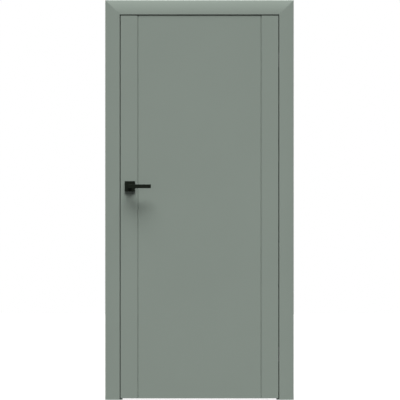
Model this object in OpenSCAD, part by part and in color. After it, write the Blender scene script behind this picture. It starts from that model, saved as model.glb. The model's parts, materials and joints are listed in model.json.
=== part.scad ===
// Interior door in its lining: a leaf of two stiles and a set-back middle panel that
// meet in bevelled grooves, hung on two concealed hinges in a mitred frame with curved
// casings on both faces of the wall, with a lever handle and a magnetic latch.
// The origin is on the floor, midway between the jambs, at the middle of the
// leaf's thickness. The door is seen from -Y and opens towards -Y.

/* [Leaf] */
// Width of the leaf
leaf_w = 825; // [650:5:950]
// Height of the leaf
leaf_h = 2000; // [1900:10:2200]
// Thickness of the two stiles
stile_t = 44; // [42:1:48]
// Width of each stile's face
stile_w = 86; // [84:1:120]
// Depth of the panel's face behind the faces of the stiles
panel_recess = 2; // [1:0.25:3]
// Width of the bevel along each stile's inner edge, and of the one along the panel's edge
bevel_w = 5.2; // [3:0.1:8]
// Depth of the groove in which these bevels meet, from the faces of the stiles
bevel_d = 4.5; // [3.5:0.25:6]
// Thickness of the tongue along each side of the panel
panel_tongue_t = 12; // [8:1:16]
// Reach of that tongue into the stile
panel_tongue_d = 10; // [6:1:12]
// Rounding of the leaf's long outer edges
arris = 1.5; // [0.5:0.5:2.5]

/* [Frame] */
// Gap between the leaf and the jamb at each side
side_gap = 4; // [3:0.5:5]
// Gap between the leaf and the head
top_gap = 5; // [3:0.5:8]
// Gap under the leaf
floor_gap = 8; // [5:1:15]
// Thickness of the wall that the frame lines
wall_t = 80; // [75:5:140]
// Thickness of the jambs
jamb_t = 46; // [46:1:54]
// Lap of the stop behind the leaf
stop_lap = 10; // [8:1:16]
// Gap between the leaf's back and the stop, which the seal fills
seal_gap = 3; // [2.5:0.5:4]
// Width of the seal's bulb
seal_w = 8; // [6:0.5:9]
// Width of the groove that holds the seal's foot
seal_foot_w = 3; // [2:0.5:4]
// Depth of that groove
seal_foot_d = 6; // [4:0.5:8]
// Height of the lower pair of wall fixings
fixing_low = 450; // [400:10:600]
// Distance between the lower and the upper fixings
fixing_span = 1200; // [900:50:1250]
// Radius of the holes for the wall fixings
fixing_r = 3.5; // [3:0.25:5]

/* [Casing] */
// Width of the casing
casing_w = 76; // [60:1:100]
// Thickness of the casing at its inner edge
casing_t = 11; // [10:0.5:12]
// Thickness of the casing at its outer edge
casing_edge_t = 3; // [3:0.5:6]
// How far the casing stands in front of the leaf
casing_proud = 1; // [1:0.5:4]
// Rounding of the casing's two front edges
casing_round = 1.5; // [0.5:0.5:2]
// Thickness of the tongue that holds the casing in the jamb
casing_tongue_t = 5; // [4:0.5:6]
// Reach of that tongue into the jamb
casing_tongue_d = 10; // [6:1:14]
// Width of the strip along the outer edge that lies on the wall
casing_bearing = 20; // [12:1:20]
// Depth of the relief in the casing's back, between that strip and the tongue
casing_relief = 1; // [0.5:0.25:1.5]

/* [Hinges] */
// Angle to which the leaf opens
open_angle = 95; // [85:1:95]
// Distance from each end of the leaf to the middle of a hinge
hinge_inset = 230; // [150:10:280]
// Height of the hinge plates
hinge_plate_h = 120; // [116:2:150]
// Thickness of the hinge plates
hinge_plate_t = 3; // [2:0.5:4]
// Height of the hinge cups
cup_h = 84; // [70:2:86]
// Width of the hollow in the cups
cup_w = 24; // [22:1:24]
// Thickness of the cups' side walls and floor
cup_wall = 1.7; // [1.2:0.1:2]
// Thickness of the cups' ends, which hold the pins
cup_end = 4; // [3:0.5:6]
// Width of the hinge arms
arm_w = 6; // [5:0.5:6.5]
// Radius of the hinge pins
pin_r = 2.5; // [2:0.25:3]

/* [Handle] */
// Distance from the leaf's edge to the axis of the lever
backset = 49; // [45:1:60]
// Height of the lever's axis above the leaf's lower edge
handle_h = 1108; // [900:1:1150]
// Side of the square rose
rose_w = 54; // [48:1:58]
// Thickness of the rose
rose_t = 9; // [8:0.5:12]
// Rounding of the rose's edges
rose_edge = 1; // [0.5:0.25:1.5]
// Wall of the rose's cover
rose_wall = 1.8; // [1.2:0.1:2.5]
// Length of the lever from its axis to its tip
lever_len = 110; // [95:1:150]
// Height of the lever's bar and neck
lever_h = 20; // [18:0.5:24]
// Thickness of the lever's bar
lever_t = 10; // [8:0.5:14]
// Width of the lever's neck
neck_w = 18; // [16:0.5:22]
// Reach of the lever in front of the stile
lever_reach = 58; // [50:1:70]
// Rounding of the lever's edges
lever_edge = 1; // [0.5:0.25:2]
// Side of the square spindle
spindle_w = 8; // [7:0.5:9]
// Radius of the lever's journal in the rose
journal_r = 9; // [8:0.25:10]
// Distance between the two bolts that hold the roses
rose_bolt_span = 38; // [36:1:40]

/* [Latch] */
// Height of the latch's face plate
face_h = 196; // [150:2:230]
// Width of the face plate
face_w = 18; // [18:0.5:22]
// Thickness of the face plate
face_t = 3; // [2:0.5:3]
// Height of the latch case
case_h = 84; // [80:1:110]
// Thickness of the latch case
case_t = 15; // [14:0.5:18]
// Wall of the latch case
case_wall = 1.5; // [1:0.1:2]
// Height of the bolt
bolt_h = 22; // [18:0.5:26]
// Thickness of the bolt
bolt_t = 10; // [8:0.5:11]
// Rounding of the bolt's nose
bolt_round = 1.5; // [0.5:0.25:3]
// Travel of the bolt towards the strike
bolt_travel = 10; // [8:0.5:11]
// Height of the strike plate
strike_h = 110; // [100:2:140]
// Thickness of the strike plate
strike_t = 2.5; // [2:0.5:3]

/* [Hidden] */
$fn = 48;

// Clearances
fit = 0.2;
running = 0.05;
seat = 0.3;
cut = 1;

// Colours
sage = [129, 139, 131] / 255;
black = [34, 38, 35] / 255;
steel = [172, 174, 176] / 255;
rubber = [52, 56, 53] / 255;

// Planes of the leaf, the wall and the frame
leaf_front = -stile_t / 2;
leaf_back = stile_t / 2;
leaf_edge = leaf_w / 2;
stile_edge = leaf_edge - stile_w - bevel_w;
wall_front = leaf_front - casing_proud + casing_t;
wall_back = wall_front + wall_t;
jamb_x = leaf_edge + side_gap;
head_z = floor_gap + leaf_h + top_gap;
stop_y = leaf_back + seal_gap;
stop_reach = side_gap + stop_lap;
stop_round = 2;
fixing_y = 5;

// The casing's face is an arc that starts flat at the inner edge
casing_drop = casing_t - casing_edge_t;
casing_face_r = (casing_w * casing_w + casing_drop * casing_drop) / (2 * casing_drop);
casing_face_fn = 720;
casing_groove_d = casing_tongue_d + 1;
casing_lip = 4;
casing_tongue_u = jamb_t - casing_lip - casing_tongue_t;
relief_u = casing_tongue_u + casing_tongue_t;

// The seal's bulb is an arc that ends just short of the leaf
seal_bulb = seal_gap - seat;
seal_r = (seal_w * seal_w / 4 + seal_bulb * seal_bulb) / (2 * seal_bulb);
seal_u = -stop_reach / 2;

// Screws
screw_r = 2;
screw_head_r = 4;
screw_head_h = 2.2;
hinge_screw_len = 25;
plate_screw_len = 16;
corner_screw_len = 60;
corner_screw_rise = 15;
corner_screw_y = [8, 42];

// The hinge axis stands just in front of the gap at the hinge side
axis_front = 1;
axis_x = leaf_edge + side_gap / 2;
axis_y = leaf_front - axis_front;
half_gap = side_gap / 2;
hinge_levels = [floor_gap + hinge_inset, floor_gap + leaf_h - hinge_inset];
level_names = ["lower", "upper"];

// Hinge arms in plan, measured from the hinge axis: each arm turns half as far as
// the leaf, and passes the lips of both cups when the leaf is fully open
cup_cover = 3.3;
pivot_depth = 14;
pivot_inset = 10;
arm_clear = 1;
arm_eye_r = 4.5;
knee_back = 1.4;
tip_reach = 4;
cup_front = wall_front - axis_y + cup_cover + cup_wall;
pivot = [half_gap + pivot_depth, cup_front + pivot_inset];
frame_lip = [half_gap, cup_front];
leaf_lip = turn([-half_gap, cup_front], open_angle);
reach_dir = (leaf_lip - frame_lip) / norm(leaf_lip - frame_lip);
reach_side = [reach_dir.y, -reach_dir.x];
arm_line = frame_lip + reach_side * (arm_w / 2 + arm_clear);
knee = closed(arm_line - reach_dir * knee_back);
tip = closed(arm_line + reach_dir * (norm(leaf_lip - frame_lip) + tip_reach));
cup_depth = arm_w / 2 + arm_clear - tip.x - half_gap;
plate_w = cup_w + 2 * cup_wall;
hinge_screw_z = (hinge_plate_h + cup_h) / 4;

// The lever's axis
lever_x = -leaf_edge + backset;
lever_z = floor_gap + handle_h;
lever_left = 10;
neck_fillet = 8;
lever_gap = 0.4;
socket_d = 24;
grub_len = 5.5;
grub_y = 14;
rose_base_t = rose_t - rose_wall - seat;

// The latch, measured from the lever's axis
bolt_z = 12;
bolt_head = 22;
tail_t = 4;
tail_gap = 0.8;
finger_w = 4;
finger_r = 12;
lever_angle = 45;
follower_r = 9;
follower_journal_r = 8;
case_front = -backset + face_t;
case_low = bolt_z + bolt_h / 2 + 12 - case_h;
tail_low = finger_r + tail_gap;
hook_t = 2.5;
hook_gap = 0.5;
hook_x = (finger_r + finger_w / 2) * sin(lever_angle) + hook_gap + bolt_travel;
case_back = hook_x + hook_t + seat + case_wall;
face_mid = -15;
strike_mid = 0;
strike_box_wall = 1.5;
window_room = 1;
box_room = 2.2;
magnet_t = 4;
magnet_gap = 1.5;
strike_box_d = bolt_travel - side_gap + magnet_gap + magnet_t - strike_t;

function turn(p, a) = [p.x * cos(a) - p.y * sin(a), p.x * sin(a) + p.y * cos(a)];
function closed(p) = pivot + turn(p - pivot, -open_angle / 2);

// Shared shapes

// Rectangle from the origin with rounded corners
module rounded_rect(w, h, r) {
    translate([r, 0]) square([w - 2 * r, h]);
    translate([0, r]) square([w, h - 2 * r]);
    for (x = [r, w - r], y = [r, h - r]) translate([x, y]) circle(r = r);
}

// Slot with round ends, long in X, about the origin
module stadium(length, w) {
    square([length - w, w], center = true);
    for (x = [-1, 1]) translate([x * (length - w) / 2, 0]) circle(d = w);
}

// What is cut from a square corner at the origin, open towards +X and +Y, to round it
module corner_cutter(r) {
    difference() {
        translate([-cut, -cut]) square(r + cut);
        translate([r, r]) circle(r = r);
    }
}

// Bar with round ends between two points of a plan
module bar(a, b, w) {
    way = b - a;
    for (p = [a, b]) translate(p) circle(d = w);
    translate(a) rotate(atan2(way.y, way.x)) translate([0, -w / 2]) square([norm(way), w]);
}

// Countersunk screw with its head at the origin and its shank along -Z
module screw(length, room = 0) {
    rotate_extrude()
        polygon([
            [0, 0], [screw_head_r + room, 0], [screw_r + room, -screw_head_h],
            [screw_r + room, -length - room], [0, -length - room]
        ]);
}

// Plate with round ends in the plane of an edge, thick along +X from that plane
module edge_plate(length, w, t) {
    rotate([0, 90, 0]) linear_extrude(t) stadium(length, w);
}

// Turns a section drawn across a side jamb into one across the head
module across_head() {
    translate([0, 0, head_z]) rotate([0, -90, 0]) linear_extrude(4 * jamb_x, center = true) children();
}

// Space right of the mitre line, from the floor up
module side_field() {
    far = jamb_x + 2 * casing_w;
    near = jamb_x - 2 * stop_reach;
    translate([0, 2 * wall_t, 0]) rotate([90, 0, 0]) linear_extrude(4 * wall_t)
        polygon([
            [near, 0], [far, 0], [far, head_z + far - jamb_x], [near, head_z + near - jamb_x]
        ]);
}

// Space above both mitre lines
module head_field() {
    far = jamb_x + 2 * casing_w;
    near = jamb_x - 2 * stop_reach;
    translate([0, 2 * wall_t, 0]) rotate([90, 0, 0]) linear_extrude(4 * wall_t)
        polygon([
            [-near, head_z + near - jamb_x], [near, head_z + near - jamb_x],
            [far, head_z + far - jamb_x], [-far, head_z + far - jamb_x]
        ]);
}

// Side piece of the frame at the hinge side, cut to its mitre
module side_length() {
    intersection() {
        translate([jamb_x, 0, 0]) linear_extrude(head_z + 2 * casing_w) children();
        side_field();
    }
}

// Top piece of the frame, cut to both mitres
module head_length() {
    intersection() {
        across_head() children();
        head_field();
    }
}

// Sections of the frame, drawn as distance from the leaf's side of the jamb and Y

// Jamb with its stop, its seal groove and the grooves for both casings
module jamb_section() {
    difference() {
        union() {
            translate([0, wall_front]) square([jamb_t, wall_t]);
            translate([-stop_reach, stop_y]) square([stop_reach + cut, wall_back - stop_y]);
        }
        translate([-stop_reach, stop_y]) corner_cutter(stop_round);
        translate([seal_u - seal_foot_w / 2, stop_y - cut]) square([seal_foot_w, seal_foot_d + cut]);
        translate([casing_tongue_u - fit, wall_front - cut])
            square([casing_tongue_t + 2 * fit, casing_groove_d + cut]);
        translate([casing_tongue_u - stop_reach - fit, wall_back - casing_groove_d])
            square([casing_tongue_t + 2 * fit, casing_groove_d + cut]);
    }
}

// Casing with its curved face towards +Y, its back on Y = 0 and its tongue below
module casing_section() {
    difference() {
        intersection() {
            square([casing_w, casing_t]);
            translate([0, casing_t - casing_face_r]) circle(r = casing_face_r, $fn = casing_face_fn);
        }
        translate([0, casing_t]) mirror([0, 1]) corner_cutter(casing_round);
        translate([casing_w, casing_edge_t]) mirror([1, 0]) mirror([0, 1]) corner_cutter(casing_round);
        translate([relief_u, -cut]) square([casing_w - casing_bearing - relief_u, casing_relief + cut]);
    }
    translate([casing_tongue_u, -casing_tongue_d])
        square([casing_tongue_t, casing_tongue_d + casing_edge_t / 2]);
}

module front_casing_section() {
    translate([0, wall_front]) mirror([0, 1]) casing_section();
}

module back_casing_section() {
    translate([-stop_reach, wall_back]) casing_section();
}

// Bulb seal with its foot in the groove of the stop
module seal_section() {
    foot = seal_foot_w - 2 * running;
    translate([seal_u, stop_y]) {
        intersection() {
            translate([-seal_w / 2, -seal_bulb]) square([seal_w, seal_bulb]);
            translate([0, seal_r - seal_bulb]) circle(r = seal_r);
        }
        translate([-foot / 2, -seal_bulb / 2]) square([foot, seal_foot_d + seal_bulb / 2 - seat]);
    }
}

// Frame

module fixing_holes() {
    for (z = [fixing_low, fixing_low + fixing_span])
        translate([jamb_x - cut, fixing_y, z]) rotate([0, 90, 0])
            cylinder(h = jamb_t + 2 * cut, r = fixing_r);
}

// Screws that draw the mitres of both jambs and the head together
module corner_screw_places() {
    for (side = [0, 1], y = corner_screw_y)
        mirror([side, 0, 0]) translate([jamb_x + jamb_t, y, head_z + corner_screw_rise])
            rotate([0, 90, 0]) children();
}

module corner_screws() {
    color(steel) corner_screw_places() screw(corner_screw_len);
}

module lock_jamb() {
    color(sage) difference() {
        mirror([1, 0, 0]) difference() {
            side_length() jamb_section();
            fixing_holes();
        }
        corner_screw_places() screw(corner_screw_len, running);
        at_strike() strike_pocket();
    }
}

module hinge_jamb() {
    color(sage) difference() {
        side_length() jamb_section();
        fixing_holes();
        corner_screw_places() screw(corner_screw_len, running);
        for (z = hinge_levels) at_frame_hinge(z) hinge_pocket();
    }
}

module head_jamb() {
    color(sage) difference() {
        head_length() jamb_section();
        corner_screw_places() screw(corner_screw_len, running);
    }
}

module front_casing_hinge() { color(sage) side_length() front_casing_section(); }

module front_casing_lock() { color(sage) mirror([1, 0, 0]) side_length() front_casing_section(); }

module front_casing_head() { color(sage) head_length() front_casing_section(); }

module back_casing_hinge() { color(sage) side_length() back_casing_section(); }

module back_casing_lock() { color(sage) mirror([1, 0, 0]) side_length() back_casing_section(); }

module back_casing_head() { color(sage) head_length() back_casing_section(); }

module seal_hinge() { color(rubber) side_length() seal_section(); }

module seal_lock() { color(rubber) mirror([1, 0, 0]) side_length() seal_section(); }

module seal_head() { color(rubber) head_length() seal_section(); }

// Strike in the lock jamb, drawn from the jamb's face at the height of the lever, deep towards +X

module at_strike() {
    translate([-jamb_x, 0, lever_z]) mirror([1, 0, 0]) children();
}

module strike_screw_places() {
    for (side = [-1, 1])
        translate([0, 0, strike_mid + side * (strike_h / 2 - face_w / 2)]) rotate([0, -90, 0]) children();
}

module strike_window(room) {
    translate([-cut, -bolt_t / 2 - room, bolt_z - bolt_h / 2 - room])
        cube([strike_t + strike_box_d + cut, bolt_t + 2 * room, bolt_h + 2 * room]);
}

module strike_box_block(room) {
    wall = box_room + strike_box_wall + room;
    translate([strike_t, -bolt_t / 2 - wall, bolt_z - bolt_h / 2 - wall])
        cube([strike_box_d + strike_box_wall + room, bolt_t + 2 * wall, bolt_h + 2 * wall]);
}

module strike_pocket() {
    translate([-cut, 0, strike_mid]) edge_plate(strike_h + 2 * fit, face_w + 2 * fit, strike_t + cut);
    strike_box_block(fit);
    strike_screw_places() screw(plate_screw_len, running);
}

module strike_plate() {
    color(steel) at_strike() difference() {
        translate([0, 0, strike_mid]) edge_plate(strike_h, face_w, strike_t);
        strike_window(window_room);
        strike_screw_places() screw(plate_screw_len, running);
    }
}

module strike_box() {
    color(black) at_strike() difference() {
        strike_box_block(0);
        strike_window(box_room);
    }
}

module strike_magnet() {
    color(steel) at_strike()
        translate([strike_t + strike_box_d - magnet_t, -bolt_t / 2, bolt_z - bolt_h / 2])
            cube([magnet_t, bolt_t, bolt_h]);
}

module strike_screws() {
    color(steel) at_strike() strike_screw_places() screw(plate_screw_len);
}

// Concealed hinges, each drawn from its mouth with the hinge axis at Y = 0, deep towards +X

module at_frame_hinge(z) {
    translate([axis_x + half_gap, axis_y, z]) children();
}

module at_leaf_hinge(z) {
    translate([axis_x - half_gap, axis_y, z]) mirror([1, 0, 0]) children();
}

module cup_block(room) {
    translate([0, cup_front - cup_wall - room, -cup_h / 2 - room])
        cube([cup_depth + cup_wall + room, plate_w + 2 * room, cup_h + 2 * room]);
}

module hinge_plate(room) {
    translate([0, cup_front + cup_w / 2, 0])
        edge_plate(hinge_plate_h + 2 * room, plate_w + 2 * room, hinge_plate_t);
}

module hinge_screw_places() {
    for (side = [-1, 1])
        translate([0, cup_front + cup_w / 2, side * hinge_screw_z]) rotate([0, -90, 0]) children();
}

module hinge_pocket() {
    cup_block(fit);
    hinge_plate(fit);
    translate([-cut, 0, 0]) hinge_plate(fit);
    hinge_screw_places() screw(hinge_screw_len, running);
}

module hinge_cup() {
    color(steel) difference() {
        union() {
            cup_block(0);
            hinge_plate(0);
        }
        translate([-cut, cup_front, cup_end - cup_h / 2]) cube([cup_depth + cut, cup_w, cup_h - 2 * cup_end]);
        translate([pivot_depth, cup_front + pivot_inset, 0])
            cylinder(h = cup_h + 2 * cut, r = pin_r + running, center = true);
        hinge_screw_places() screw(hinge_screw_len, running);
    }
}

module hinge_pin() {
    color(steel) translate([pivot_depth, cup_front + pivot_inset, 0])
        cylinder(h = cup_h, r = pin_r, center = true);
}

// Cranked arm in plan from its pin to the tip that runs in the other cup
module arm_section() {
    difference() {
        union() {
            bar(pivot, knee, arm_w);
            bar(knee, tip, arm_w);
            translate(pivot) circle(r = arm_eye_r);
        }
        translate(pivot) circle(r = pin_r + running);
    }
}

module arm_length() {
    linear_extrude(cup_h / 2 - cup_end - 2 * seat) children();
}

module frame_arm(z) {
    color(steel) translate([axis_x, axis_y, z + seat]) arm_length() arm_section();
}

module leaf_arm(z) {
    color(steel) translate([axis_x, axis_y, z - seat]) mirror([0, 0, 1])
        arm_length() mirror([1, 0]) arm_section();
}

module frame_hinge_screws() {
    color(steel) for (z = hinge_levels) at_frame_hinge(z) hinge_screw_places() screw(hinge_screw_len);
}

module leaf_hinge_screws() {
    color(steel) for (z = hinge_levels) at_leaf_hinge(z) hinge_screw_places() screw(hinge_screw_len);
}

// Leaf

// What is cut from a stile's inner edge at the origin, with the stile towards +X and +Y
module bevel_cutter() {
    over = cut * bevel_d / bevel_w;
    polygon([[-cut, -over], [bevel_w + cut, -over], [-cut, bevel_d + over]]);
}

// Stile of the hinge side, with its inner edge towards the panel
module stile_section() {
    groove = panel_tongue_t + 2 * fit;
    difference() {
        translate([stile_edge, leaf_front]) rounded_rect(leaf_edge - stile_edge, stile_t, arris);
        for (side = [0, 1]) mirror([0, side]) translate([stile_edge, leaf_front]) bevel_cutter();
        translate([stile_edge - cut, -groove / 2]) square([panel_tongue_d + seat + cut, groove]);
    }
}

module stile_length() {
    translate([0, 0, floor_gap]) linear_extrude(leaf_h) stile_section();
}

module hinge_stile() {
    color(sage) difference() {
        stile_length();
        for (z = hinge_levels) at_leaf_hinge(z) hinge_pocket();
    }
}

module lock_stile() {
    color(sage) difference() {
        mirror([1, 0, 0]) stile_length();
        at_lever() latch_pocket();
    }
}

module panel_section() {
    face_x = stile_edge - bevel_w;
    face_y = leaf_back - panel_recess;
    edge_y = leaf_back - bevel_d;
    polygon([
        [-stile_edge, -edge_y], [-face_x, -face_y], [face_x, -face_y], [stile_edge, -edge_y],
        [stile_edge, edge_y], [face_x, face_y], [-face_x, face_y], [-stile_edge, edge_y]
    ]);
    square([2 * (stile_edge + panel_tongue_d), panel_tongue_t], center = true);
}

module centre_panel() {
    color(sage) translate([0, 0, floor_gap]) linear_extrude(leaf_h) panel_section();
}

// Latch and handle, drawn from the lever's axis

module at_lever() {
    translate([lever_x, 0, lever_z]) children();
}

// Drawn along +Z, set along the lever's axis
module along_axis() {
    rotate([90, 0, 0]) children();
}

module case_block(room) {
    translate([case_front - room, -case_t / 2 - room, case_low - room])
        cube([case_back - case_front + 2 * room, case_t + 2 * room, case_h + 2 * room]);
}

module rose_bolt_places() {
    for (side = [-1, 1]) translate([side * rose_bolt_span / 2, 0, 0]) along_axis() children();
}

module face_screw_places() {
    for (side = [-1, 1])
        translate([-backset, 0, face_mid + side * (face_h / 2 - face_w / 2)]) rotate([0, -90, 0]) children();
}

module latch_pocket() {
    case_block(fit);
    translate([-backset - cut, 0, face_mid]) edge_plate(face_h + 2 * fit, face_w + 2 * fit, face_t + cut);
    along_axis() cylinder(h = stile_t + 2 * cut, r = journal_r, center = true);
    rose_bolt_places() cylinder(h = stile_t + 2 * cut, r = screw_r + fit, center = true);
    face_screw_places() screw(plate_screw_len, running);
}

module lock_case() {
    inner = case_t - 2 * case_wall;
    color(steel) at_lever() difference() {
        case_block(0);
        translate([case_front - cut, -inner / 2, case_low + case_wall])
            cube([case_back - case_front + cut - case_wall, inner, case_h - 2 * case_wall]);
        along_axis() cylinder(h = case_t + 2 * cut, r = follower_journal_r + running, center = true);
        rose_bolt_places() cylinder(h = case_t + 2 * cut, r = screw_r + fit, center = true);
    }
}

module lock_face_plate() {
    color(steel) at_lever() difference() {
        translate([-backset, 0, face_mid]) edge_plate(face_h, face_w, face_t);
        translate([-backset - cut, -bolt_t / 2 - seat, bolt_z - bolt_h / 2 - seat])
            cube([face_t + 2 * cut, bolt_t + 2 * seat, bolt_h + 2 * seat]);
        face_screw_places() screw(plate_screw_len, running);
    }
}

module face_plate_screws() {
    color(steel) at_lever() face_screw_places() screw(plate_screw_len);
}

// Bolt with a tail over the follower and a hook behind the follower's finger; the hook
// stands back by the bolt's travel, so that bolt and lever can each move alone
module latch_bolt() {
    tail_len = hook_x + hook_t + backset - bolt_head;
    color(steel) at_lever() {
        translate([-backset, 0, bolt_z - bolt_h / 2]) linear_extrude(bolt_h) difference() {
            translate([0, -bolt_t / 2]) square([bolt_head, bolt_t]);
            for (side = [0, 1]) mirror([0, side]) translate([0, -bolt_t / 2]) corner_cutter(bolt_round);
        }
        translate([bolt_head - backset - cut, -finger_w / 2, tail_low])
            cube([tail_len + cut, finger_w, tail_t]);
        translate([hook_x, -finger_w / 2, follower_r])
            cube([hook_t, finger_w, tail_low + tail_t - follower_r]);
    }
}

module follower() {
    inner = case_t - 2 * case_wall - 2 * fit;
    hole = spindle_w + 2 * fit;
    color(steel) at_lever() difference() {
        union() {
            along_axis() cylinder(h = inner, r = follower_r, center = true);
            along_axis() cylinder(h = case_t, r = follower_journal_r, center = true);
            translate([-finger_w / 2, -finger_w / 2, 0]) cube([finger_w, finger_w, finger_r]);
        }
        cube([hole, case_t + 2 * cut, hole], center = true);
    }
}

module spindle() {
    length = stile_t + 2 * (rose_t + lever_gap + socket_d / 2);
    color(steel) at_lever() cube([spindle_w, length, spindle_w], center = true);
}

// Handle on the front; the back one is its mirror image

module rose_base() {
    w = rose_w - 2 * rose_wall - 2 * seat;
    color(steel) at_lever() difference() {
        translate([-w / 2, leaf_front - rose_base_t, -w / 2]) cube([w, rose_base_t, w]);
        translate([0, leaf_front + cut, 0]) along_axis() cylinder(h = rose_t + cut, r = journal_r + running);
        rose_bolt_places() cylinder(h = 4 * stile_t, r = screw_r + fit, center = true);
    }
}

// Section across the rose, with its face at Y = 0 and both corners of the face rounded
module rose_section() {
    difference() {
        translate([-rose_w / 2, 0]) square([rose_w, rose_t]);
        for (side = [0, 1]) mirror([side, 0]) translate([-rose_w / 2, 0]) corner_cutter(rose_edge);
    }
}

module rose_block() {
    intersection() {
        translate([-rose_w / 2, leaf_front, -rose_w / 2]) along_axis()
            linear_extrude(rose_t) rounded_rect(rose_w, rose_w, rose_edge);
        translate([0, leaf_front - rose_t, 0]) linear_extrude(2 * rose_w, center = true) rose_section();
        translate([0, leaf_front - rose_t, 0]) rotate([0, 90, 0])
            linear_extrude(2 * rose_w, center = true) rose_section();
    }
}

module rose_cover() {
    inner = rose_w - 2 * rose_wall;
    color(black) at_lever() difference() {
        rose_block();
        translate([-inner / 2, leaf_front - rose_t + rose_wall, -inner / 2]) cube([inner, rose_t, inner]);
        translate([0, leaf_front + cut, 0]) along_axis() cylinder(h = rose_t + 2 * cut, r = journal_r + seat);
    }
}

module rose_bolts() {
    length = stile_t + 2 * rose_base_t;
    color(steel) at_lever() rose_bolt_places() cylinder(h = length, r = screw_r, center = true);
}

// Block from the origin with all the edges along X, Y and Z rounded
module rounded_block(size, r) {
    intersection() {
        linear_extrude(size.z) rounded_rect(size.x, size.y, r);
        translate([0, size.y, 0]) rotate([90, 0, 0]) linear_extrude(size.y) rounded_rect(size.x, size.z, r);
        rotate([90, 0, 90]) linear_extrude(size.x) rounded_rect(size.y, size.z, r);
    }
}

// The lever's bar, its neck and the fillet between them, with the bar's face at Y = 0
module lever_form() {
    neck = lever_reach - rose_t - lever_gap;
    inner_x = neck_w - lever_left;
    translate([-lever_left, 0, -lever_h / 2]) {
        rounded_block([lever_left + lever_len, lever_t, lever_h], lever_edge);
        rounded_block([neck_w, neck, lever_h], lever_edge);
    }
    translate([inner_x, lever_t, lever_edge - lever_h / 2]) linear_extrude(lever_h - 2 * lever_edge)
        difference() {
            translate([-cut, -cut]) square(neck_fillet + cut);
            translate([neck_fillet, neck_fillet]) circle(r = neck_fillet);
        }
}

module lever() {
    hole = spindle_w + 2 * fit;
    journal_len = rose_t + lever_gap - seat;
    color(black) at_lever() difference() {
        union() {
            translate([0, leaf_front - lever_reach, 0]) lever_form();
            translate([0, leaf_front - seat, 0]) along_axis() cylinder(h = journal_len + cut, r = journal_r);
        }
        translate([-hole / 2, leaf_front - rose_t - socket_d, -hole / 2])
            cube([hole, rose_t + socket_d, hole]);
        translate([0, leaf_front - rose_t - grub_y, -lever_h / 2 - cut])
            cylinder(h = lever_h / 2 + cut, r = screw_r + running);
    }
}

module grub_screws() {
    color(steel) at_lever() for (side = [0, 1])
        mirror([0, side, 0]) translate([0, leaf_front - rose_t - grub_y, -spindle_w / 2 - fit - grub_len])
            cylinder(h = grub_len, r = screw_r);
}

module to_back() {
    mirror([0, 1, 0]) children();
}

lock_jamb();
hinge_jamb();
head_jamb();
front_casing_lock();
front_casing_hinge();
front_casing_head();
back_casing_lock();
back_casing_hinge();
back_casing_head();
seal_lock();
seal_hinge();
seal_head();
corner_screws();
strike_plate();
strike_box();
strike_magnet();
strike_screws();
for (i = [0, 1]) {
    z = hinge_levels[i];
    level = level_names[i];
    at_frame_hinge(z) hinge_cup();
    at_frame_hinge(z) hinge_pin();
    frame_arm(z);
    at_leaf_hinge(z) hinge_cup();
    at_leaf_hinge(z) hinge_pin();
    leaf_arm(z);
}
frame_hinge_screws();
leaf_hinge_screws();
lock_stile();
hinge_stile();
centre_panel();
lock_case();
lock_face_plate();
face_plate_screws();
latch_bolt();
follower();
rose_base();  // rose_base_front
to_back() rose_base();  // rose_base_back
rose_cover();  // rose_cover_front
to_back() rose_cover();  // rose_cover_back
rose_bolts();
lever();  // lever_front
to_back() lever();  // lever_back
spindle();
grub_screws();
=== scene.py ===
# %% [markdown]
# # A sage-green interior door in its frame
# The real thing is a flat leaf of two stiles and a set-back panel, hung on concealed hinges in a
# mitred lining with curved casings in front and behind, all in one matt lacquer, with a black lever
# handle on a square rose. The construction is already modelled to size, so this lesson dresses it:
# finishes for every surface, rounded handle pieces, screws with their drives, light and a camera.

# %% Load the construction
import json
import math

import bmesh
import bpy
from mathutils import Matrix, Vector


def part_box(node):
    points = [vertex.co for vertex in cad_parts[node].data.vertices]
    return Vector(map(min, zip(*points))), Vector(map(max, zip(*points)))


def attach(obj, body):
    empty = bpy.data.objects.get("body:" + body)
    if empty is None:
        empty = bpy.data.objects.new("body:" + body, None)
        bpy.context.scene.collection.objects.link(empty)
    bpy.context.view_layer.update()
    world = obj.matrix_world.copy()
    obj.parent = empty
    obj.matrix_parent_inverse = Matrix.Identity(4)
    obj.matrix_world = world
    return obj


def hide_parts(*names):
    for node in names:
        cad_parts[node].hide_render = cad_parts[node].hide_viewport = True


MM = 0.001  # the shared frame is in metres

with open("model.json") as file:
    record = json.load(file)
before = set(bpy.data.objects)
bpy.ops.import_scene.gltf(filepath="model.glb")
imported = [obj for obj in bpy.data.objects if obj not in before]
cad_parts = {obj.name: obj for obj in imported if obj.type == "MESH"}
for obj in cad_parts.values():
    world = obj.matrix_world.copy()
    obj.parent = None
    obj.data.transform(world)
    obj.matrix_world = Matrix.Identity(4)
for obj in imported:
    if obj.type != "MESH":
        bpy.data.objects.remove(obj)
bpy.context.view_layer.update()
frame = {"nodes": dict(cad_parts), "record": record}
cad_nodes = frame["nodes"]
record = frame["record"]
slot_of = {part["node"]: part["material_slot"] for part in record["subparts"]}
body_of = {node: body for body, members in record["behaviour"]["bodies"].items()
           for node in members}

# %% [markdown]
# ## Finishes
# Every finish is a small tree of nodes on the Object coordinates, which on these pieces are metres
# in the shared frame, so a noise scale of 1000 gives grains of about a millimetre. A few helpers
# keep the trees short: one starts a material, one adds a noise whose values are brought into a
# range, one mixes two colours and one makes a bump. Nearly all values of a noise lie between 0.3
# and 0.7, so that span is what is stretched to the range.

# %% Helpers for finishes
NOISE_LOW, NOISE_HIGH = 0.3, 0.7


def start_finish(name):
    """A new material with its nodes, its links and its principled shader."""
    material = bpy.data.materials.new(name)
    material.use_nodes = True
    tree = material.node_tree
    return material, tree.nodes, tree.links, tree.nodes["Principled BSDF"]


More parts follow.
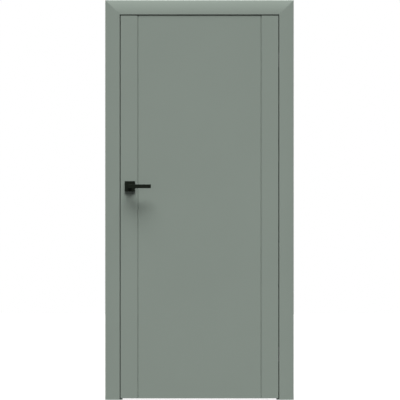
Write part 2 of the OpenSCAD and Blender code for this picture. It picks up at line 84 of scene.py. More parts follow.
def noise_range(nodes, links, scale, low=0.0, high=1.0, detail=2.0, stretch=(1, 1, 1)):
    """Noise on Object coordinates, stretched along an axis if need be, from low to high."""
    place = nodes.new("ShaderNodeTexCoord")
    mapping = nodes.new("ShaderNodeMapping")
    mapping.inputs["Scale"].default_value = stretch
    noise = nodes.new("ShaderNodeTexNoise")
    noise.inputs["Scale"].default_value = scale
    noise.inputs["Detail"].default_value = detail
    spread = nodes.new("ShaderNodeMapRange")
    spread.inputs["From Min"].default_value = NOISE_LOW
    spread.inputs["From Max"].default_value = NOISE_HIGH
    spread.inputs["To Min"].default_value = low
    spread.inputs["To Max"].default_value = high
    links.new(place.outputs["Object"], mapping.inputs["Vector"])
    links.new(mapping.outputs["Vector"], noise.inputs["Vector"])
    links.new(noise.outputs["Fac"], spread.inputs["Value"])
    return spread.outputs["Result"]


def tint(nodes, links, factor, dark, light):
    """A colour between two others."""
    mix = nodes.new("ShaderNodeMix")
    mix.data_type = "RGBA"
    mix.inputs["A"].default_value = (*dark, 1)
    mix.inputs["B"].default_value = (*light, 1)
    links.new(factor, mix.inputs["Factor"])
    return mix.outputs["Result"]


def relief(nodes, links, height, shader, strength, depth):
    """A bump of the given depth in metres, on the shader's normal."""
    bump = nodes.new("ShaderNodeBump")
    bump.inputs["Strength"].default_value = strength
    bump.inputs["Distance"].default_value = depth
    links.new(height, bump.inputs["Height"])
    links.new(bump.outputs["Normal"], shader.inputs["Normal"])


# %% [markdown]
# ### Matt lacquer
# Sprayed lacquer on board is nearly one colour. What shows it is paint and not plastic is a very
# fine pebbled skin, a gloss that changes a little from place to place, and faint clouds of tone
# where the coats overlap. So there are three noises: clouds, gloss and skin. On the leaf, stile and
# panel are two boards that meet at the bottom of the V-groove. There a narrow dark band is painted,
# partly the hairline of the joint and partly painted shade of the groove's crease. It has a fixed
# place across the leaf, so it is a narrow band in the X coordinate.

# %% Lacquer
SAGE = Vector((0.220, 0.258, 0.227))
JOINT_X = -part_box("lock_stile")[1].x
JOINT_WIDTH = 0.7 * MM
# How dark the joint band is: the joint line darkened further as painted shade of the groove's
# crease.
JOINT_SHADE = 0.15


def joint_line_and_painted_shade(nodes, links, colour):
    """Darkens a colour in a narrow band on both sides of the leaf, where the boards meet: the joint
    line together with painted shade of the groove's crease.
    """
    place = nodes.new("ShaderNodeTexCoord")
    across = nodes.new("ShaderNodeSeparateXYZ")
    links.new(place.outputs["Object"], across.inputs["Vector"])
    value = across.outputs["X"]
    steps = (("ABSOLUTE", 0), ("SUBTRACT", JOINT_X), ("ABSOLUTE", 0),
             ("LESS_THAN", JOINT_WIDTH / 2))
    for operation, amount in steps:
        step = nodes.new("ShaderNodeMath")
        step.operation = operation
        links.new(value, step.inputs[0])
        step.inputs[1].default_value = amount
        value = step.outputs["Value"]
    mix = nodes.new("ShaderNodeMix")
    mix.data_type = "RGBA"
    links.new(value, mix.inputs["Factor"])
    links.new(colour, mix.inputs["A"])
    mix.inputs["B"].default_value = (*(SAGE * JOINT_SHADE), 1)
    return mix.outputs["Result"]


def sage_lacquer(name, joint_shaded):
    """The lacquer; for the leaf, with a dark band at the joints that is partly joint line and
    partly painted shade of the groove's crease.
    """
    material, nodes, links, shader = start_finish(name)
    clouds = noise_range(nodes, links, scale=2.3, detail=3.0)
    colour = tint(nodes, links, clouds, SAGE * 0.985, SAGE * 1.015)
    if joint_shaded:
        # Paints the dark band at the joints, which is partly joint line and partly painted shade of
        # the crease.
        colour = joint_line_and_painted_shade(nodes, links, colour)
    links.new(colour, shader.inputs["Base Color"])
    gloss = noise_range(nodes, links, scale=14.0, low=0.52, high=0.60, detail=4.0)
    links.new(gloss, shader.inputs["Roughness"])
    shader.inputs["Specular IOR Level"].default_value = 0.22
    skin = noise_range(nodes, links, scale=620.0)
    relief(nodes, links, skin, shader, strength=0.28, depth=0.12 * MM)
    return material


finishes = {"painted_leaf": sage_lacquer("leaf_lacquer_joint_shaded", joint_shaded=True),
            "painted_frame": sage_lacquer("frame_lacquer", joint_shaded=False)}
# The leaf's hairlines are the joint band with its painted shade of the groove's crease.
print("two lacquers, the leaf's with hairlines", round(JOINT_X / MM, 1), "mm from the middle")

# %% [markdown]
# ### Black powder coat
# The lever and the roses are cast and powder coated: near black with a fine, dry grain that breaks
# every highlight. The grain is a noise of about 0.4 mm, which gives the tone and the bump, and a
# coarser one varies the gloss.

# %% Powder coat
BLACK = Vector((0.0072, 0.0098, 0.0066))


def black_powder_coat():
    material, nodes, links, shader = start_finish("black_powder_coat")
    grain = noise_range(nodes, links, scale=2400.0)
    colour = tint(nodes, links, grain, BLACK * 0.65, BLACK * 1.4)
    links.new(colour, shader.inputs["Base Color"])
    gloss = noise_range(nodes, links, scale=180.0, low=0.46, high=0.58, detail=3.0)
    links.new(gloss, shader.inputs["Roughness"])
    shader.inputs["Specular IOR Level"].default_value = 0.05
    relief(nodes, links, grain, shader, strength=0.6, depth=0.08 * MM)
    return material


finishes["black_handle"] = black_powder_coat()
print("a powder coat:", finishes["black_handle"].name)

# %% [markdown]
# ### Metals
# Plates, screws and bolt are satin nickel on steel, brushed along their length, which is upright
# here: the noise is stretched along Z so that it runs in fine upright lines. The hinge bodies are
# cast zinc with a dull tumbled finish, which is mottled and has no direction.

# %% Satin steel and cast zinc
def satin_steel():
    material, nodes, links, shader = start_finish("satin_steel")
    shader.inputs["Metallic"].default_value = 1.0
    lines = noise_range(nodes, links, scale=1500.0, stretch=(1, 1, 0.02))
    colour = tint(nodes, links, lines, (0.50, 0.51, 0.52), (0.60, 0.61, 0.62))
    links.new(colour, shader.inputs["Base Color"])
    gloss = noise_range(nodes, links, scale=900.0, low=0.26, high=0.38, detail=3.0,
                        stretch=(1, 1, 0.03))
    links.new(gloss, shader.inputs["Roughness"])
    relief(nodes, links, lines, shader, strength=0.15, depth=0.03 * MM)
    return material


def cast_zinc():
    material, nodes, links, shader = start_finish("cast_zinc")
    shader.inputs["Metallic"].default_value = 1.0
    mottle = noise_range(nodes, links, scale=260.0, detail=5.0)
    colour = tint(nodes, links, mottle, (0.37, 0.38, 0.39), (0.46, 0.47, 0.48))
    links.new(colour, shader.inputs["Base Color"])
    gloss = noise_range(nodes, links, scale=500.0, low=0.38, high=0.52, detail=4.0)
    links.new(gloss, shader.inputs["Roughness"])
    pits = noise_range(nodes, links, scale=1800.0)
    relief(nodes, links, pits, shader, strength=0.2, depth=0.05 * MM)
    return material


finishes["steel"] = satin_steel()
finishes["zinc"] = cast_zinc()
print("two metals:", finishes["steel"].name, finishes["zinc"].name)

# %% [markdown]
# ### Rubber and moulded plastic
# The seal is extruded rubber: dark, dull, with faint drawn lines along its length. The box behind
# the strike is moulded in black plastic with the fine sparkle of an eroded mould.

# %% Rubber and plastic
def seal_rubber():
    material, nodes, links, shader = start_finish("seal_rubber")
    drawn = noise_range(nodes, links, scale=1200.0, stretch=(1, 1, 0.05))
    colour = tint(nodes, links, drawn, (0.030, 0.034, 0.031), (0.042, 0.047, 0.043))
    links.new(colour, shader.inputs["Base Color"])
    gloss = noise_range(nodes, links, scale=300.0, low=0.62, high=0.78, detail=3.0)
    links.new(gloss, shader.inputs["Roughness"])
    relief(nodes, links, drawn, shader, strength=0.2, depth=0.06 * MM)
    return material


def moulded_plastic():
    material, nodes, links, shader = start_finish("moulded_plastic")
    sparkle = noise_range(nodes, links, scale=1600.0)
    colour = tint(nodes, links, sparkle, (0.017, 0.019, 0.018), (0.024, 0.026, 0.025))
    links.new(colour, shader.inputs["Base Color"])
    gloss = noise_range(nodes, links, scale=220.0, low=0.40, high=0.55, detail=3.0)
    links.new(gloss, shader.inputs["Roughness"])
    relief(nodes, links, sparkle, shader, strength=0.3, depth=0.05 * MM)
    return material


finishes["seal"] = seal_rubber()
finishes["plastic"] = moulded_plastic()
print("all finishes:", sorted(finish.name for finish in finishes.values()))

# %% [markdown]
# The record says which finish each modelled piece has, so one loop dresses them all.

# %% Dress the modelled pieces
for name, obj in cad_nodes.items():
    obj.data.materials.clear()
    obj.data.materials.append(finishes[slot_of[name]])
print("dressed", len(cad_nodes), "pieces")

# %% [markdown]
# ## Pieces shaped in Blender
# Some pieces look better with softened edges or with detail that the construction leaves out. Each
# is built at rest in the shared frame, then takes the place of one modelled piece: it rides on the
# same body, has the same finish, and the modelled piece is hidden. One helper does all that, and
# also counts open edges, because a closed piece should have none.

# %% Put a piece in place
SHARP_FROM = math.radians(32)
FLAT_FACE_WEIGHT = 100


def put_in_place(bm, name, node):
    """Makes the mesh a piece that stands for a modelled one, rides with it and has its finish."""
    open_edges = sum(not edge.is_manifold for edge in bm.edges)
    mesh = bpy.data.meshes.new(name)
    bm.to_mesh(mesh)
    bm.free()
    mesh.shade_smooth()
    mesh.set_sharp_from_angle(angle=SHARP_FROM)
    mesh.materials.append(finishes[slot_of[node]])
    piece = bpy.data.objects.new(name, mesh)
    steady = piece.modifiers.new("large_faces_stay_flat", "WEIGHTED_NORMAL")
    steady.weight = FLAT_FACE_WEIGHT
    steady.keep_sharp = True
    bpy.context.scene.collection.objects.link(piece)
    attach(piece, body_of[node])
    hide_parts(node)
    print(name, "for", node, "-", len(mesh.polygons), "faces,", open_edges, "open edges")


# %% [markdown]
# Operators give back mixed lists of what they made, so a few helpers pick out vertices, edges and
# whole faces, always in the same order. Two more round edges and turn a finished skin outwards.

# %% Helpers for meshes
SAME_PLACE = 1e-6
QUARTER_TURN = math.radians(90)
FOUR_WAYS = [Vector(way) for way in ((1, 0, 0), (-1, 0, 0), (0, 1, 0), (0, -1, 0))]


def verts_of(geometry):
    """The vertices in a list of mixed parts."""
    return [item for item in geometry if isinstance(item, bmesh.types.BMVert)]


def edges_of(geometry):
    """The edges in a list of mixed parts."""
    return [item for item in geometry if isinstance(item, bmesh.types.BMEdge)]


def once_each(items):
    """The items without repeats, in the order of their first place."""
    return list(dict.fromkeys(items))


def parts_of(faces):
    """Faces with their edges and vertices."""
    return once_each(item for face in faces for item in (face, *face.edges, *face.verts))


def round_edges(bm, edges, radius, segments):
    """Bevels edges to a round."""
    bmesh.ops.bevel(bm, geom=edges, offset=radius, offset_type="OFFSET", affect="EDGES",
                    segments=segments, profile=0.5, material=-1)


def corner_edges(bm):
    """The edges where two faces meet at more than a radian."""
    return [edge for edge in bm.edges if edge.calc_face_angle(0) > 1]


def outwards(bm):
    """Merges doubles and turns all faces outwards."""
    bmesh.ops.remove_doubles(bm, verts=bm.verts, dist=SAME_PLACE)
    bmesh.ops.recalc_face_normals(bm, faces=bm.faces)


# %% [markdown]
# ### Casings
# A casing is a long moulding with one section, sawn at 45 degrees where the lengths meet. Its face
# is a shallow arc, thick beside the leaf and thin at the outer edge, and a tongue on its back sits
# in the jamb. So the section is drawn first: one vertex is spun into the arc, a few more vertices
# close the back, and the face is extruded to a bar, whose front edges are rounded.

# %% Casing section and bar
CASING_W, CASING_T, CASING_EDGE_T = 76 * MM, 11 * MM, 3 * MM
TONGUE_FROM, TONGUE_TO, TONGUE_D = 37 * MM, 42 * MM, 10 * MM
HOLLOW_TO, HOLLOW_D = 56 * MM, 1 * MM
CASING_BACK = [(CASING_W, 0), (HOLLOW_TO, 0), (HOLLOW_TO, -HOLLOW_D), (TONGUE_TO, -HOLLOW_D),
               (TONGUE_TO, TONGUE_D), (TONGUE_FROM, TONGUE_D), (TONGUE_FROM, 0), (0, 0)]
ARC_STEPS = 28
CASING_ROUND = 1.4 * MM
NEAR = 1e-5


def casing_bar(length):
    """A straight casing along Z: inner edge on X = 0, back on Y = 0 and face towards -Y."""
    bm = bmesh.new()
    drop = CASING_T - CASING_EDGE_T
    radius = (CASING_W ** 2 + drop ** 2) / (2 * drop)
    inner = bm.verts.new((0, -CASING_T, 0))
    bmesh.ops.spin(bm, geom=[inner], cent=(0, radius - CASING_T, 0), axis=(0, 0, 1),
                   angle=math.asin(CASING_W / radius), steps=ARC_STEPS, use_duplicate=False)
    outer = max(bm.verts, key=lambda vert: vert.co.x)
    chain = [outer] + [bm.verts.new((x, y, 0)) for x, y in CASING_BACK] + [inner]
    for start, end in zip(chain, chain[1:]):
        bm.edges.new((start, end))
    section = bmesh.ops.contextual_create(bm, geom=bm.edges[:])["faces"]
    made = bmesh.ops.extrude_face_region(bm, geom=section)["geom"]
    bmesh.ops.translate(bm, verts=verts_of(made), vec=(0, 0, length))
    corners = ((0, -CASING_T), (CASING_W, -CASING_EDGE_T))
    long_edges = [edge for edge in bm.edges if edge.calc_length() > length / 2 and any(
        abs(edge.verts[0].co.x - x) + abs(edge.verts[0].co.y - y) < NEAR for x, y in corners)]
    round_edges(bm, long_edges, CASING_ROUND, segments=6)
    return bm


# %% [markdown]
# The bar becomes a side length or a head length by turning it, and a plane saws each mitre. A hair
# of bevel on the sawn edges lets the joint show. The back of the frame gets the same moulding the
# other way round, set in further because the stop stands there.

# %% Saw and set the casings
STOP_REACH = 14 * MM
JAMB_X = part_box("front_casing_hinge")[0].x
HEAD_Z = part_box("front_casing_head")[0].z
FRONT_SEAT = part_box("front_casing_hinge")[1].y - TONGUE_D
BACK_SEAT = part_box("back_casing_hinge")[0].y + TONGUE_D
FACE_FROM = CASING_EDGE_T * 0.6
MITRE_ROUND = 0.3 * MM


def stands_out(vert, seat_y):
    """How far a point stands out from the plane that the casing's back is on."""
    return seat_y - vert.co.y if seat_y < 0 else vert.co.y - seat_y


def saw(bm, point, direction, seat_y):
    """Cuts off what lies beyond a plane, closes the cut and takes the edge off its face side."""
    everything = bm.verts[:] + bm.edges[:] + bm.faces[:]
    cut = bmesh.ops.bisect_plane(bm, geom=everything, plane_co=point, plane_no=direction,
                                 clear_outer=True)
    rim = edges_of(cut["geom_cut"])
    bmesh.ops.contextual_create(bm, geom=rim)
    face_side = [edge for edge in rim
                 if all(stands_out(vert, seat_y) > FACE_FROM for vert in edge.verts)]
    round_edges(bm, face_side, MITRE_ROUND, segments=2)


def casing(node, back, side):
    """A casing in its place: side is 1 at the hinges, -1 at the latch and 0 at the head."""
    seat_y = BACK_SEAT if back else FRONT_SEAT
    inset = -STOP_REACH if back else 0
    length = HEAD_Z + 2 * CASING_W if side else 2 * (JAMB_X + 2 * CASING_W)
    bm = casing_bar(length)
    if back:
        bmesh.ops.scale(bm, verts=bm.verts, vec=(1, -1, 1))
    if side:
        bmesh.ops.translate(bm, verts=bm.verts, vec=(JAMB_X + inset, seat_y, 0))
        saw(bm, (JAMB_X, 0, HEAD_Z), (-1, 0, 1), seat_y)
        bmesh.ops.scale(bm, verts=bm.verts, vec=(side, 1, 1))
    else:
        bmesh.ops.translate(bm, verts=bm.verts, vec=(0, 0, -length / 2))
        bmesh.ops.rotate(bm, verts=bm.verts, cent=(0, 0, 0),
                         matrix=Matrix.Rotation(-QUARTER_TURN, 3, "Y"))
        bmesh.ops.translate(bm, verts=bm.verts, vec=(0, seat_y, HEAD_Z + inset))
        for end in (-1, 1):
            saw(bm, (end * JAMB_X, 0, HEAD_Z), (end, 0, -1), seat_y)
    outwards(bm)
    put_in_place(bm, node.replace("_casing", "_moulding"), node)


for side, place in ((1, "hinge"), (-1, "lock"), (0, "head")):
    casing(f"front_casing_{place}", False, side)
    casing(f"back_casing_{place}", True, side)

# %% [markdown]
# ### Roses
# A rose is a pressed square cover with soft edges and a round hole for the lever. The hole is a
# circle and the rim is a square cut into as many edges, so the two can be bridged into the face.
# The rim is extruded back for the sides, the outer edges are bevelled, and solidify gives the sheet
# its thickness.

# %% Rose covers
LEAF_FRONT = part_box("lock_stile")[0].y
LEVER_AXIS = sum(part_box("rose_cover_front"), Vector()) / 2
ROSE_W, ROSE_T, ROSE_SHEET = 54 * MM, 9 * MM, 1.8 * MM
HOLE_R, HOLE_SEGMENTS = 9.3 * MM, 48
HANDLE_ROUND = 1 * MM


def rose_cover(node, back):
    bm = bmesh.new()
    bmesh.ops.create_circle(bm, cap_ends=False, radius=HOLE_R, segments=HOLE_SEGMENTS)
    hole = set(bm.edges)
    bmesh.ops.create_grid(bm, x_segments=1, y_segments=1, size=ROSE_W / 2)
    bmesh.ops.delete(bm, geom=bm.faces[:], context="FACES_ONLY")
    square = [edge for edge in bm.edges if edge not in hole]
    bmesh.ops.subdivide_edges(bm, edges=square, cuts=HOLE_SEGMENTS // 4 - 1)
    rim = [edge for edge in bm.edges if edge not in hole]
    bmesh.ops.bridge_loops(bm, edges=bm.edges[:])
    sides = bmesh.ops.extrude_edge_only(bm, edges=rim)["geom"]
    bmesh.ops.translate(bm, verts=verts_of(sides), vec=(0, 0, -ROSE_T))
    bmesh.ops.recalc_face_normals(bm, faces=bm.faces)
    round_edges(bm, corner_edges(bm), HANDLE_ROUND, segments=5)
    if max(face.normal.z for face in bm.faces) < 0.5:
        bmesh.ops.reverse_faces(bm, faces=bm.faces)
    bmesh.ops.solidify(bm, geom=bm.faces[:], thickness=ROSE_SHEET)
    bmesh.ops.rotate(bm, verts=bm.verts, cent=(0, 0, 0),
                     matrix=Matrix.Rotation(QUARTER_TURN, 3, "X"))
    bmesh.ops.translate(bm, verts=bm.verts, vec=(LEVER_AXIS.x, LEAF_FRONT - ROSE_T, LEVER_AXIS.z))
    if back:
        bmesh.ops.scale(bm, verts=bm.verts, vec=(1, -1, 1))
        bmesh.ops.reverse_faces(bm, faces=bm.faces)
    put_in_place(bm, node.replace("rose_cover", "rose"), node)


rose_cover("rose_cover_front", False)
rose_cover("rose_cover_back", True)

# %% [markdown]
# ### Levers
# The lever is one casting: a flat bar, and a neck that turns square into the rose with a small
# hollow in the inside corner. Under the neck is the hole of the grub screw. That hole comes first
# here, as a helper: four cuts free a small square of the underside, and a circle bridged into that
# square is pushed up to make the hole.

# %% Hole of the grub screw
LEVER_H, LEVER_REACH = 20 * MM, 58 * MM
GRUB_PLACE = LEVER_REACH - ROSE_T - 14 * MM
GRUB_HOLE_R, GRUB_SEGMENTS = 2.05 * MM, 24
GRUB_FIELD = 3.5 * MM
FACING_DOWN = -0.99


def grub_hole(bm):
    """Opens the hole of the grub screw in the underside of the neck."""
    low = min(vert.co.z for vert in bm.verts)
    middle = Vector((0, GRUB_PLACE, low))
    for direction in FOUR_WAYS:
        underside = [face for face in bm.faces if face.normal.z < FACING_DOWN
                     and abs(face.calc_center_median().z - low) < SAME_PLACE]
        bmesh.ops.bisect_plane(bm, geom=parts_of(underside), plane_no=direction,
                               plane_co=middle + GRUB_FIELD * direction)
    field = min((face for face in bm.faces if face.normal.z < FACING_DOWN),
                key=lambda face: (face.calc_center_median() - middle).length)
    square = field.edges[:]
    bmesh.ops.delete(bm, geom=[field], context="FACES_ONLY")
    bmesh.ops.subdivide_edges(bm, edges=square, cuts=GRUB_SEGMENTS // 4 - 1)
    rim = [edge for edge in bm.edges if edge.is_boundary]
    ring = bmesh.ops.create_circle(bm, cap_ends=False, radius=GRUB_HOLE_R, segments=GRUB_SEGMENTS,
                                   matrix=Matrix.Translation(middle))["verts"]
    ring_edges = once_each(edge for vert in ring for edge in vert.link_edges)
    bmesh.ops.bridge_loops(bm, edges=rim + ring_edges)
    top = bmesh.ops.extrude_edge_only(bm, edges=ring_edges)["geom"]
    bmesh.ops.translate(bm, verts=verts_of(top), vec=(0, 0, LEVER_H / 2))
    bmesh.ops.contextual_create(bm, geom=edges_of(top))


# %% [markdown]
# Six vertices give the lever's plan, with X along the bar and Y towards the leaf. The inside corner
# is bevelled as a vertex, which makes the hollow, the plan is extruded to its height, and all sharp
# edges get the same small rounding. A round journal carries the neck into the rose.

# %% Levers
LEVER_TAIL, LEVER_TIP, BAR_T = 10 * MM, 110 * MM, 10 * MM
NECK_SIDE = 8 * MM
NECK_END = LEVER_REACH - ROSE_T - 0.4 * MM
CORNER_HOLLOW = 8 * MM
JOURNAL_R, JOURNAL_LEN, JOURNAL_SEGMENTS = 9 * MM, ROSE_T + 1 * MM, 48
JOURNAL_MIDDLE = NECK_END + ROSE_T / 2 - 0.3 * MM


def lever(node, back):
    bm = bmesh.new()
    plan = [(-LEVER_TAIL, 0), (LEVER_TIP, 0), (LEVER_TIP, BAR_T), (NECK_SIDE, BAR_T),
            (NECK_SIDE, NECK_END), (-LEVER_TAIL, NECK_END)]
    corners = [bm.verts.new((x, y, -LEVER_H / 2)) for x, y in plan]
    bm.faces.new(corners)
    bmesh.ops.bevel(bm, geom=[corners[3]], offset=CORNER_HOLLOW, offset_type="OFFSET",
                    affect="VERTICES", segments=10, profile=0.5, material=-1)
    made = bmesh.ops.extrude_face_region(bm, geom=bm.faces[:])["geom"]
    bmesh.ops.translate(bm, verts=verts_of(made), vec=(0, 0, LEVER_H))
    outwards(bm)
    round_edges(bm, corner_edges(bm), HANDLE_ROUND, segments=4)
    bm.normal_update()
    grub_hole(bm)
    lying = Matrix.Rotation(QUARTER_TURN, 4, "X")
    bmesh.ops.create_cone(bm, cap_ends=True, radius1=JOURNAL_R, radius2=JOURNAL_R,
                          depth=JOURNAL_LEN, segments=JOURNAL_SEGMENTS,
                          matrix=Matrix.Translation((0, JOURNAL_MIDDLE, 0)) @ lying)
    bmesh.ops.translate(bm, verts=bm.verts,
                        vec=(LEVER_AXIS.x, LEAF_FRONT - LEVER_REACH, LEVER_AXIS.z))
    if back:
        bmesh.ops.scale(bm, verts=bm.verts, vec=(1, -1, 1))
    outwards(bm)
    put_in_place(bm, node.replace("lever", "handle_lever"), node)


lever("lever_front", False)
lever("lever_back", True)

# %% [markdown]
# ### Screws
# The screws in the plates and hinges have countersunk heads with a cross recess. The head is a
# round face that planes cut into cells at the sides and ends of the cross's arms. The five cells of
# the cross are pushed down and narrowed, and the rim is extruded to the cone, the shank and the
# point.

# %% One screw
HEAD_R, HEAD_H, HEAD_SEGMENTS = 4 * MM, 2.2 * MM, 24
SHANK_R, POINT_R, POINT_LEN = 2 * MM, 0.3 * MM, 3 * MM
CROSS, ARM = 2.1 * MM, 0.45 * MM
CROSS_DEPTH, CROSS_TAPER = 1.7 * MM, 0.45


def faces_beside(bm, old):
    """The faces on vertices that are new."""
    return once_each(face for vert in bm.verts if vert not in old for face in vert.link_faces)


def cross_screw(bm, length):
    """Adds a screw with its head at the origin and its shank along -Z, and gives its vertices."""
    old = set(bm.verts)
    bmesh.ops.create_circle(bm, cap_ends=True, radius=HEAD_R, segments=HEAD_SEGMENTS)
    for direction in FOUR_WAYS:
        for distance in (ARM, CROSS):
            bmesh.ops.bisect_plane(bm, geom=parts_of(faces_beside(bm, old)),
                                   plane_co=distance * direction, plane_no=direction)
    middles = {face: sorted(abs(number) for number in face.calc_center_bounds()[:2])
               for face in faces_beside(bm, old)}
    cross = [face for face, (near, far) in middles.items() if near < ARM / 2 and far < CROSS]
    recess = verts_of(bmesh.ops.extrude_face_region(bm, geom=cross)["geom"])
    bmesh.ops.delete(bm, geom=[face for face in cross if face.is_valid], context="FACES")
    bmesh.ops.scale(bm, verts=recess, vec=(CROSS_TAPER, CROSS_TAPER, 1))
    bmesh.ops.translate(bm, verts=recess, vec=(0, 0, -CROSS_DEPTH))
    rim, radius = [edge for edge in bm.edges if edge.is_boundary], HEAD_R
    for depth, narrower in ((HEAD_H, SHANK_R), (length - POINT_LEN, SHANK_R), (length, POINT_R)):
        made = bmesh.ops.extrude_edge_only(bm, edges=rim)["geom"]
        ring = verts_of(made)
        rim = [edge for edge in edges_of(made) if all(vert in ring for vert in edge.verts)]
        bmesh.ops.scale(bm, verts=ring, vec=(narrower / radius, narrower / radius, 1))
        bmesh.ops.translate(bm, verts=ring, vec=(0, 0, -depth - ring[0].co.z))
        radius = narrower
    bmesh.ops.contextual_create(bm, geom=rim)
    return [vert for vert in bm.verts if vert not in old]


# %% [markdown]
# The boxes of the modelled screws tell where the heads are. No two screws stop at the same angle,
# so each is turned a little further than the one before.

# %% All screws
HINGE_SCREW_SPAN = 102 * MM
PLATE_SCREW_LEN, HINGE_SCREW_LEN = 16 * MM, 25 * MM
FIRST_TURN, NEXT_TURN = 0.4, 1.1


def plate_heads(node, facing):
    """Heads of the two screws at the ends of a plate."""
    low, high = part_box(node)
    x = high.x if facing > 0 else low.x
    return [Vector((x, (low.y + high.y) / 2, z)) for z in (low.z + HEAD_R, high.z - HEAD_R)]


def hinge_heads(node, facing):
    """Heads of the screws at both ends of both hinges."""
    (first, last), span = plate_heads(node, facing), Vector((0, 0, HINGE_SCREW_SPAN))
    return [first, first + span, last - span, last]


def screws(name, node, heads, facing, length):
    """Screws in their places: facing is 1 if their heads are seen from +X and -1 if from -X."""
    bm = bmesh.new()
    for number, head in enumerate(heads(node, facing)):
        verts = cross_screw(bm, length)
        driven = Matrix.Rotation(FIRST_TURN + NEXT_TURN * number, 3, "Z")
        bmesh.ops.rotate(bm, verts=verts, cent=(0, 0, 0),
                         matrix=Matrix.Rotation(facing * QUARTER_TURN, 3, "Y") @ driven)
        bmesh.ops.translate(bm, verts=verts, vec=head)
    outwards(bm)
    put_in_place(bm, name, node)


screws("strike_cross_screws", "strike_screws", plate_heads, 1, PLATE_SCREW_LEN)
screws("latch_cross_screws", "face_plate_screws", plate_heads, -1, PLATE_SCREW_LEN)
screws("frame_hinge_cross_screws", "frame_hinge_screws", hinge_heads, -1, HINGE_SCREW_LEN)
screws("leaf_hinge_cross_screws", "leaf_hinge_screws", hinge_heads, 1, HINGE_SCREW_LEN)

# %% [markdown]
# ### Grub screws
# Each lever is held on its spindle by a headless screw with a hexagon socket. A circle of six
# edges, each cut in four, is bridged to one of 24 for the end, and the rest is extruded as on the
# other screws.

# %% Grub screws
GRUB_R, GRUB_LEN = 2 * MM, 5.5 * MM
SOCKET_R, SOCKET_DEPTH, SOCKET_SIDES = 1.15 * MM, 2 * MM, 6


def new_edges(bm, old):
    return [edge for edge in bm.edges if edge not in old]


def grub_screws(node):
    low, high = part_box(node)
    bm = bmesh.new()
    for y in (low.y + GRUB_R, high.y - GRUB_R):
        at = Matrix.Translation((LEVER_AXIS.x, y, low.z))
        before = set(bm.edges)
        bmesh.ops.create_circle(bm, cap_ends=False, radius=SOCKET_R, segments=SOCKET_SIDES,
                                matrix=at)
        bmesh.ops.subdivide_edges(bm, edges=new_edges(bm, before),
                                  cuts=GRUB_SEGMENTS // SOCKET_SIDES - 1)
        socket = new_edges(bm, before)
        before = set(bm.edges)
        bmesh.ops.create_circle(bm, cap_ends=False, radius=GRUB_R, segments=GRUB_SEGMENTS,
                                matrix=at)
        rim = new_edges(bm, before)
        bmesh.ops.bridge_loops(bm, edges=socket + rim)
        for edges, depth in ((socket, SOCKET_DEPTH), (rim, GRUB_LEN)):
            made = bmesh.ops.extrude_edge_only(bm, edges=edges)["geom"]
            bmesh.ops.translate(bm, verts=verts_of(made), vec=(0, 0, depth))
            end = [edge for edge in edges_of(made)
                   if abs(edge.verts[0].co.z - edge.verts[1].co.z) < SAME_PLACE]
            bmesh.ops.contextual_create(bm, geom=end)
    outwards(bm)
    put_in_place(bm, "hexagon_grub_screws", node)


grub_screws("grub_screws")

# %% [markdown]
# ## Studio
# The floor is a plain pale disc. What the camera sees of it is nearly white, with the shadow kept,
# and what it throws back on the door is a quiet grey, so that shadows under the handle stay dark.
# The world does the same: white to the eye and in reflections, a low even light otherwise.

# %% Floor
FLOOR_RADIUS, FLOOR_SEGMENTS = 30.0, 96
BOUNCE_GREY = (0.04, 0.04, 0.04, 1)
FLOOR_WHITE = (0.16, 0.16, 0.16, 1)
FLOOR_GLOW = 0.74


def seen_directly(nodes, links):
    """1 for rays from the camera and for rays in reflections and glass, 0 for light."""
    path = nodes.new("ShaderNodeLightPath")
    total = path.outputs["Is Camera Ray"]
    for kind in ("Is Glossy Ray", "Is Transmission Ray"):
        either = nodes.new("ShaderNodeMath")
        either.operation = "MAXIMUM"
        links.new(total, either.inputs[0])
        links.new(path.outputs[kind], either.inputs[1])
        total = either.outputs["Value"]
    return total


def floor_finish():
    material, nodes, links, shader = start_finish("studio_floor")
    nodes.remove(shader)
    bounce = nodes.new("ShaderNodeBsdfDiffuse")
    bounce.inputs["Color"].default_value = BOUNCE_GREY
    seen = nodes.new("ShaderNodeBsdfDiffuse")
    seen.inputs["Color"].default_value = FLOOR_WHITE
    glow = nodes.new("ShaderNodeEmission")
    glow.inputs["Strength"].default_value = FLOOR_GLOW
    lifted = nodes.new("ShaderNodeAddShader")
    links.new(seen.outputs["BSDF"], lifted.inputs[0])
    links.new(glow.outputs["Emission"], lifted.inputs[1])
    choose = nodes.new("ShaderNodeMixShader")
    links.new(seen_directly(nodes, links), choose.inputs["Fac"])
    links.new(bounce.outputs["BSDF"], choose.inputs[1])
    links.new(lifted.outputs["Shader"], choose.inputs[2])
    links.new(choose.outputs["Shader"], nodes["Material Output"].inputs["Surface"])
    return material


floor_mesh = bpy.data.meshes.new("studio_floor")
bm = bmesh.new()
bmesh.ops.create_circle(bm, cap_ends=True, radius=FLOOR_RADIUS, segments=FLOOR_SEGMENTS)
bm.to_mesh(floor_mesh)
bm.free()
floor_mesh.materials.append(floor_finish())
floor = bpy.data.objects.new("studio_floor", floor_mesh)
bpy.context.scene.collection.objects.link(floor)
print("a floor", 2 * FLOOR_RADIUS, "m across")

# %% [markdown]
# The world has two backgrounds, and the same test as on the floor chooses between them: a weak one
# that lights the door, and a white one that is seen behind it and mirrored in the metal.

# %% World
SKY_LIGHT = 0.16
WHITE = (1, 1, 1, 1)

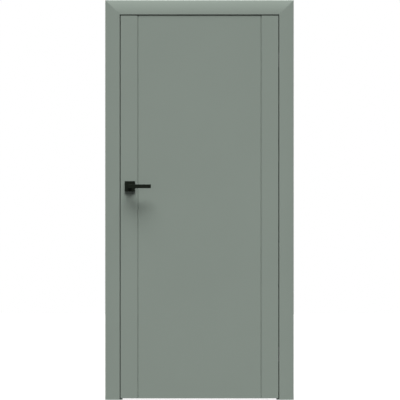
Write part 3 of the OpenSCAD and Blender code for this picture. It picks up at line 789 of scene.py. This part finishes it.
world = bpy.data.worlds.new("studio")
bpy.context.scene.world = world
world.use_nodes = True
sky_nodes, sky_links = world.node_tree.nodes, world.node_tree.links
sky = sky_nodes["Background"]
sky.inputs["Color"].default_value = WHITE
sky.inputs["Strength"].default_value = SKY_LIGHT
white = sky_nodes.new("ShaderNodeBackground")
white.inputs["Color"].default_value = WHITE
white.inputs["Strength"].default_value = 1.0
backdrop = sky_nodes.new("ShaderNodeMixShader")
sky_links.new(seen_directly(sky_nodes, sky_links), backdrop.inputs["Fac"])
sky_links.new(sky.outputs["Background"], backdrop.inputs[1])
sky_links.new(white.outputs["Background"], backdrop.inputs[2])
sky_links.new(backdrop.outputs["Shader"], sky_nodes["World Output"].inputs["Surface"])
print("a white world that lights with", SKY_LIGHT)

# %% [markdown]
# The shadow under the lever tells how the real light stood: high in front, soft, and much wider
# than it was tall. An area light could do that, but its light fades from the top of a tall door to
# its foot. So three wide suns stand side by side. One from behind lights the other face, and two
# weak ones, out of reach of the front, keep the sides readable.

# %% Lights
KEY_LIGHTS = ((-40, 68, 2.65), (0, 66, 2.35), (40, 68, 2.65))
KEY_WIDTH = 26
SIDE_LIGHTS = (-115, 115)


def soft_sun(name, azimuth, elevation, width, strength):
    """A wide sun that shines from the given direction, in degrees: azimuth 0 is in front."""
    lamp = bpy.data.lights.new(name, "SUN")
    lamp.energy = strength
    lamp.angle = math.radians(width)
    sun = bpy.data.objects.new(name, lamp)
    a, e = math.radians(azimuth), math.radians(elevation)
    towards = Vector((math.sin(a) * math.cos(e), -math.cos(a) * math.cos(e), math.sin(e)))
    sun.rotation_mode = "QUATERNION"
    sun.rotation_quaternion = towards.to_track_quat("Z", "Y")
    bpy.context.scene.collection.objects.link(sun)


for azimuth, elevation, strength in KEY_LIGHTS:
    soft_sun(f"key_light_{azimuth}", azimuth, elevation, KEY_WIDTH, strength)
soft_sun("back_light", azimuth=180, elevation=28, width=60, strength=2.7)
for azimuth in SIDE_LIGHTS:
    soft_sun(f"side_light_{azimuth}", azimuth, elevation=22, width=20, strength=1.3)
print("a wide key light in three parts, a back light and two side lights")

# %% [markdown]
# ## Camera
# The picture is taken straight on from far away with a long lens, so that upright lines stay
# upright and the sides of the casings don't show. The frame is just as high as the door.

# %% Camera
PICTURE_HEIGHT = 2.090
CAMERA_DISTANCE = 40.0
SENSOR = 36.0
VIEW_CENTRE = (0.0027, 1.0445)

lens = bpy.data.cameras.new("camera")
lens.sensor_width = SENSOR
lens.lens = SENSOR * (CAMERA_DISTANCE + LEAF_FRONT) / PICTURE_HEIGHT
lens.clip_end = 5 * CAMERA_DISTANCE
camera = bpy.data.objects.new("camera", lens)
camera.location = (VIEW_CENTRE[0], -CAMERA_DISTANCE, VIEW_CENTRE[1])
camera.rotation_euler = (QUARTER_TURN, 0, 0)
bpy.context.scene.collection.objects.link(camera)
bpy.context.scene.camera = camera
bpy.context.scene.view_settings.view_transform = "Standard"
print("lens", round(lens.lens), "mm")
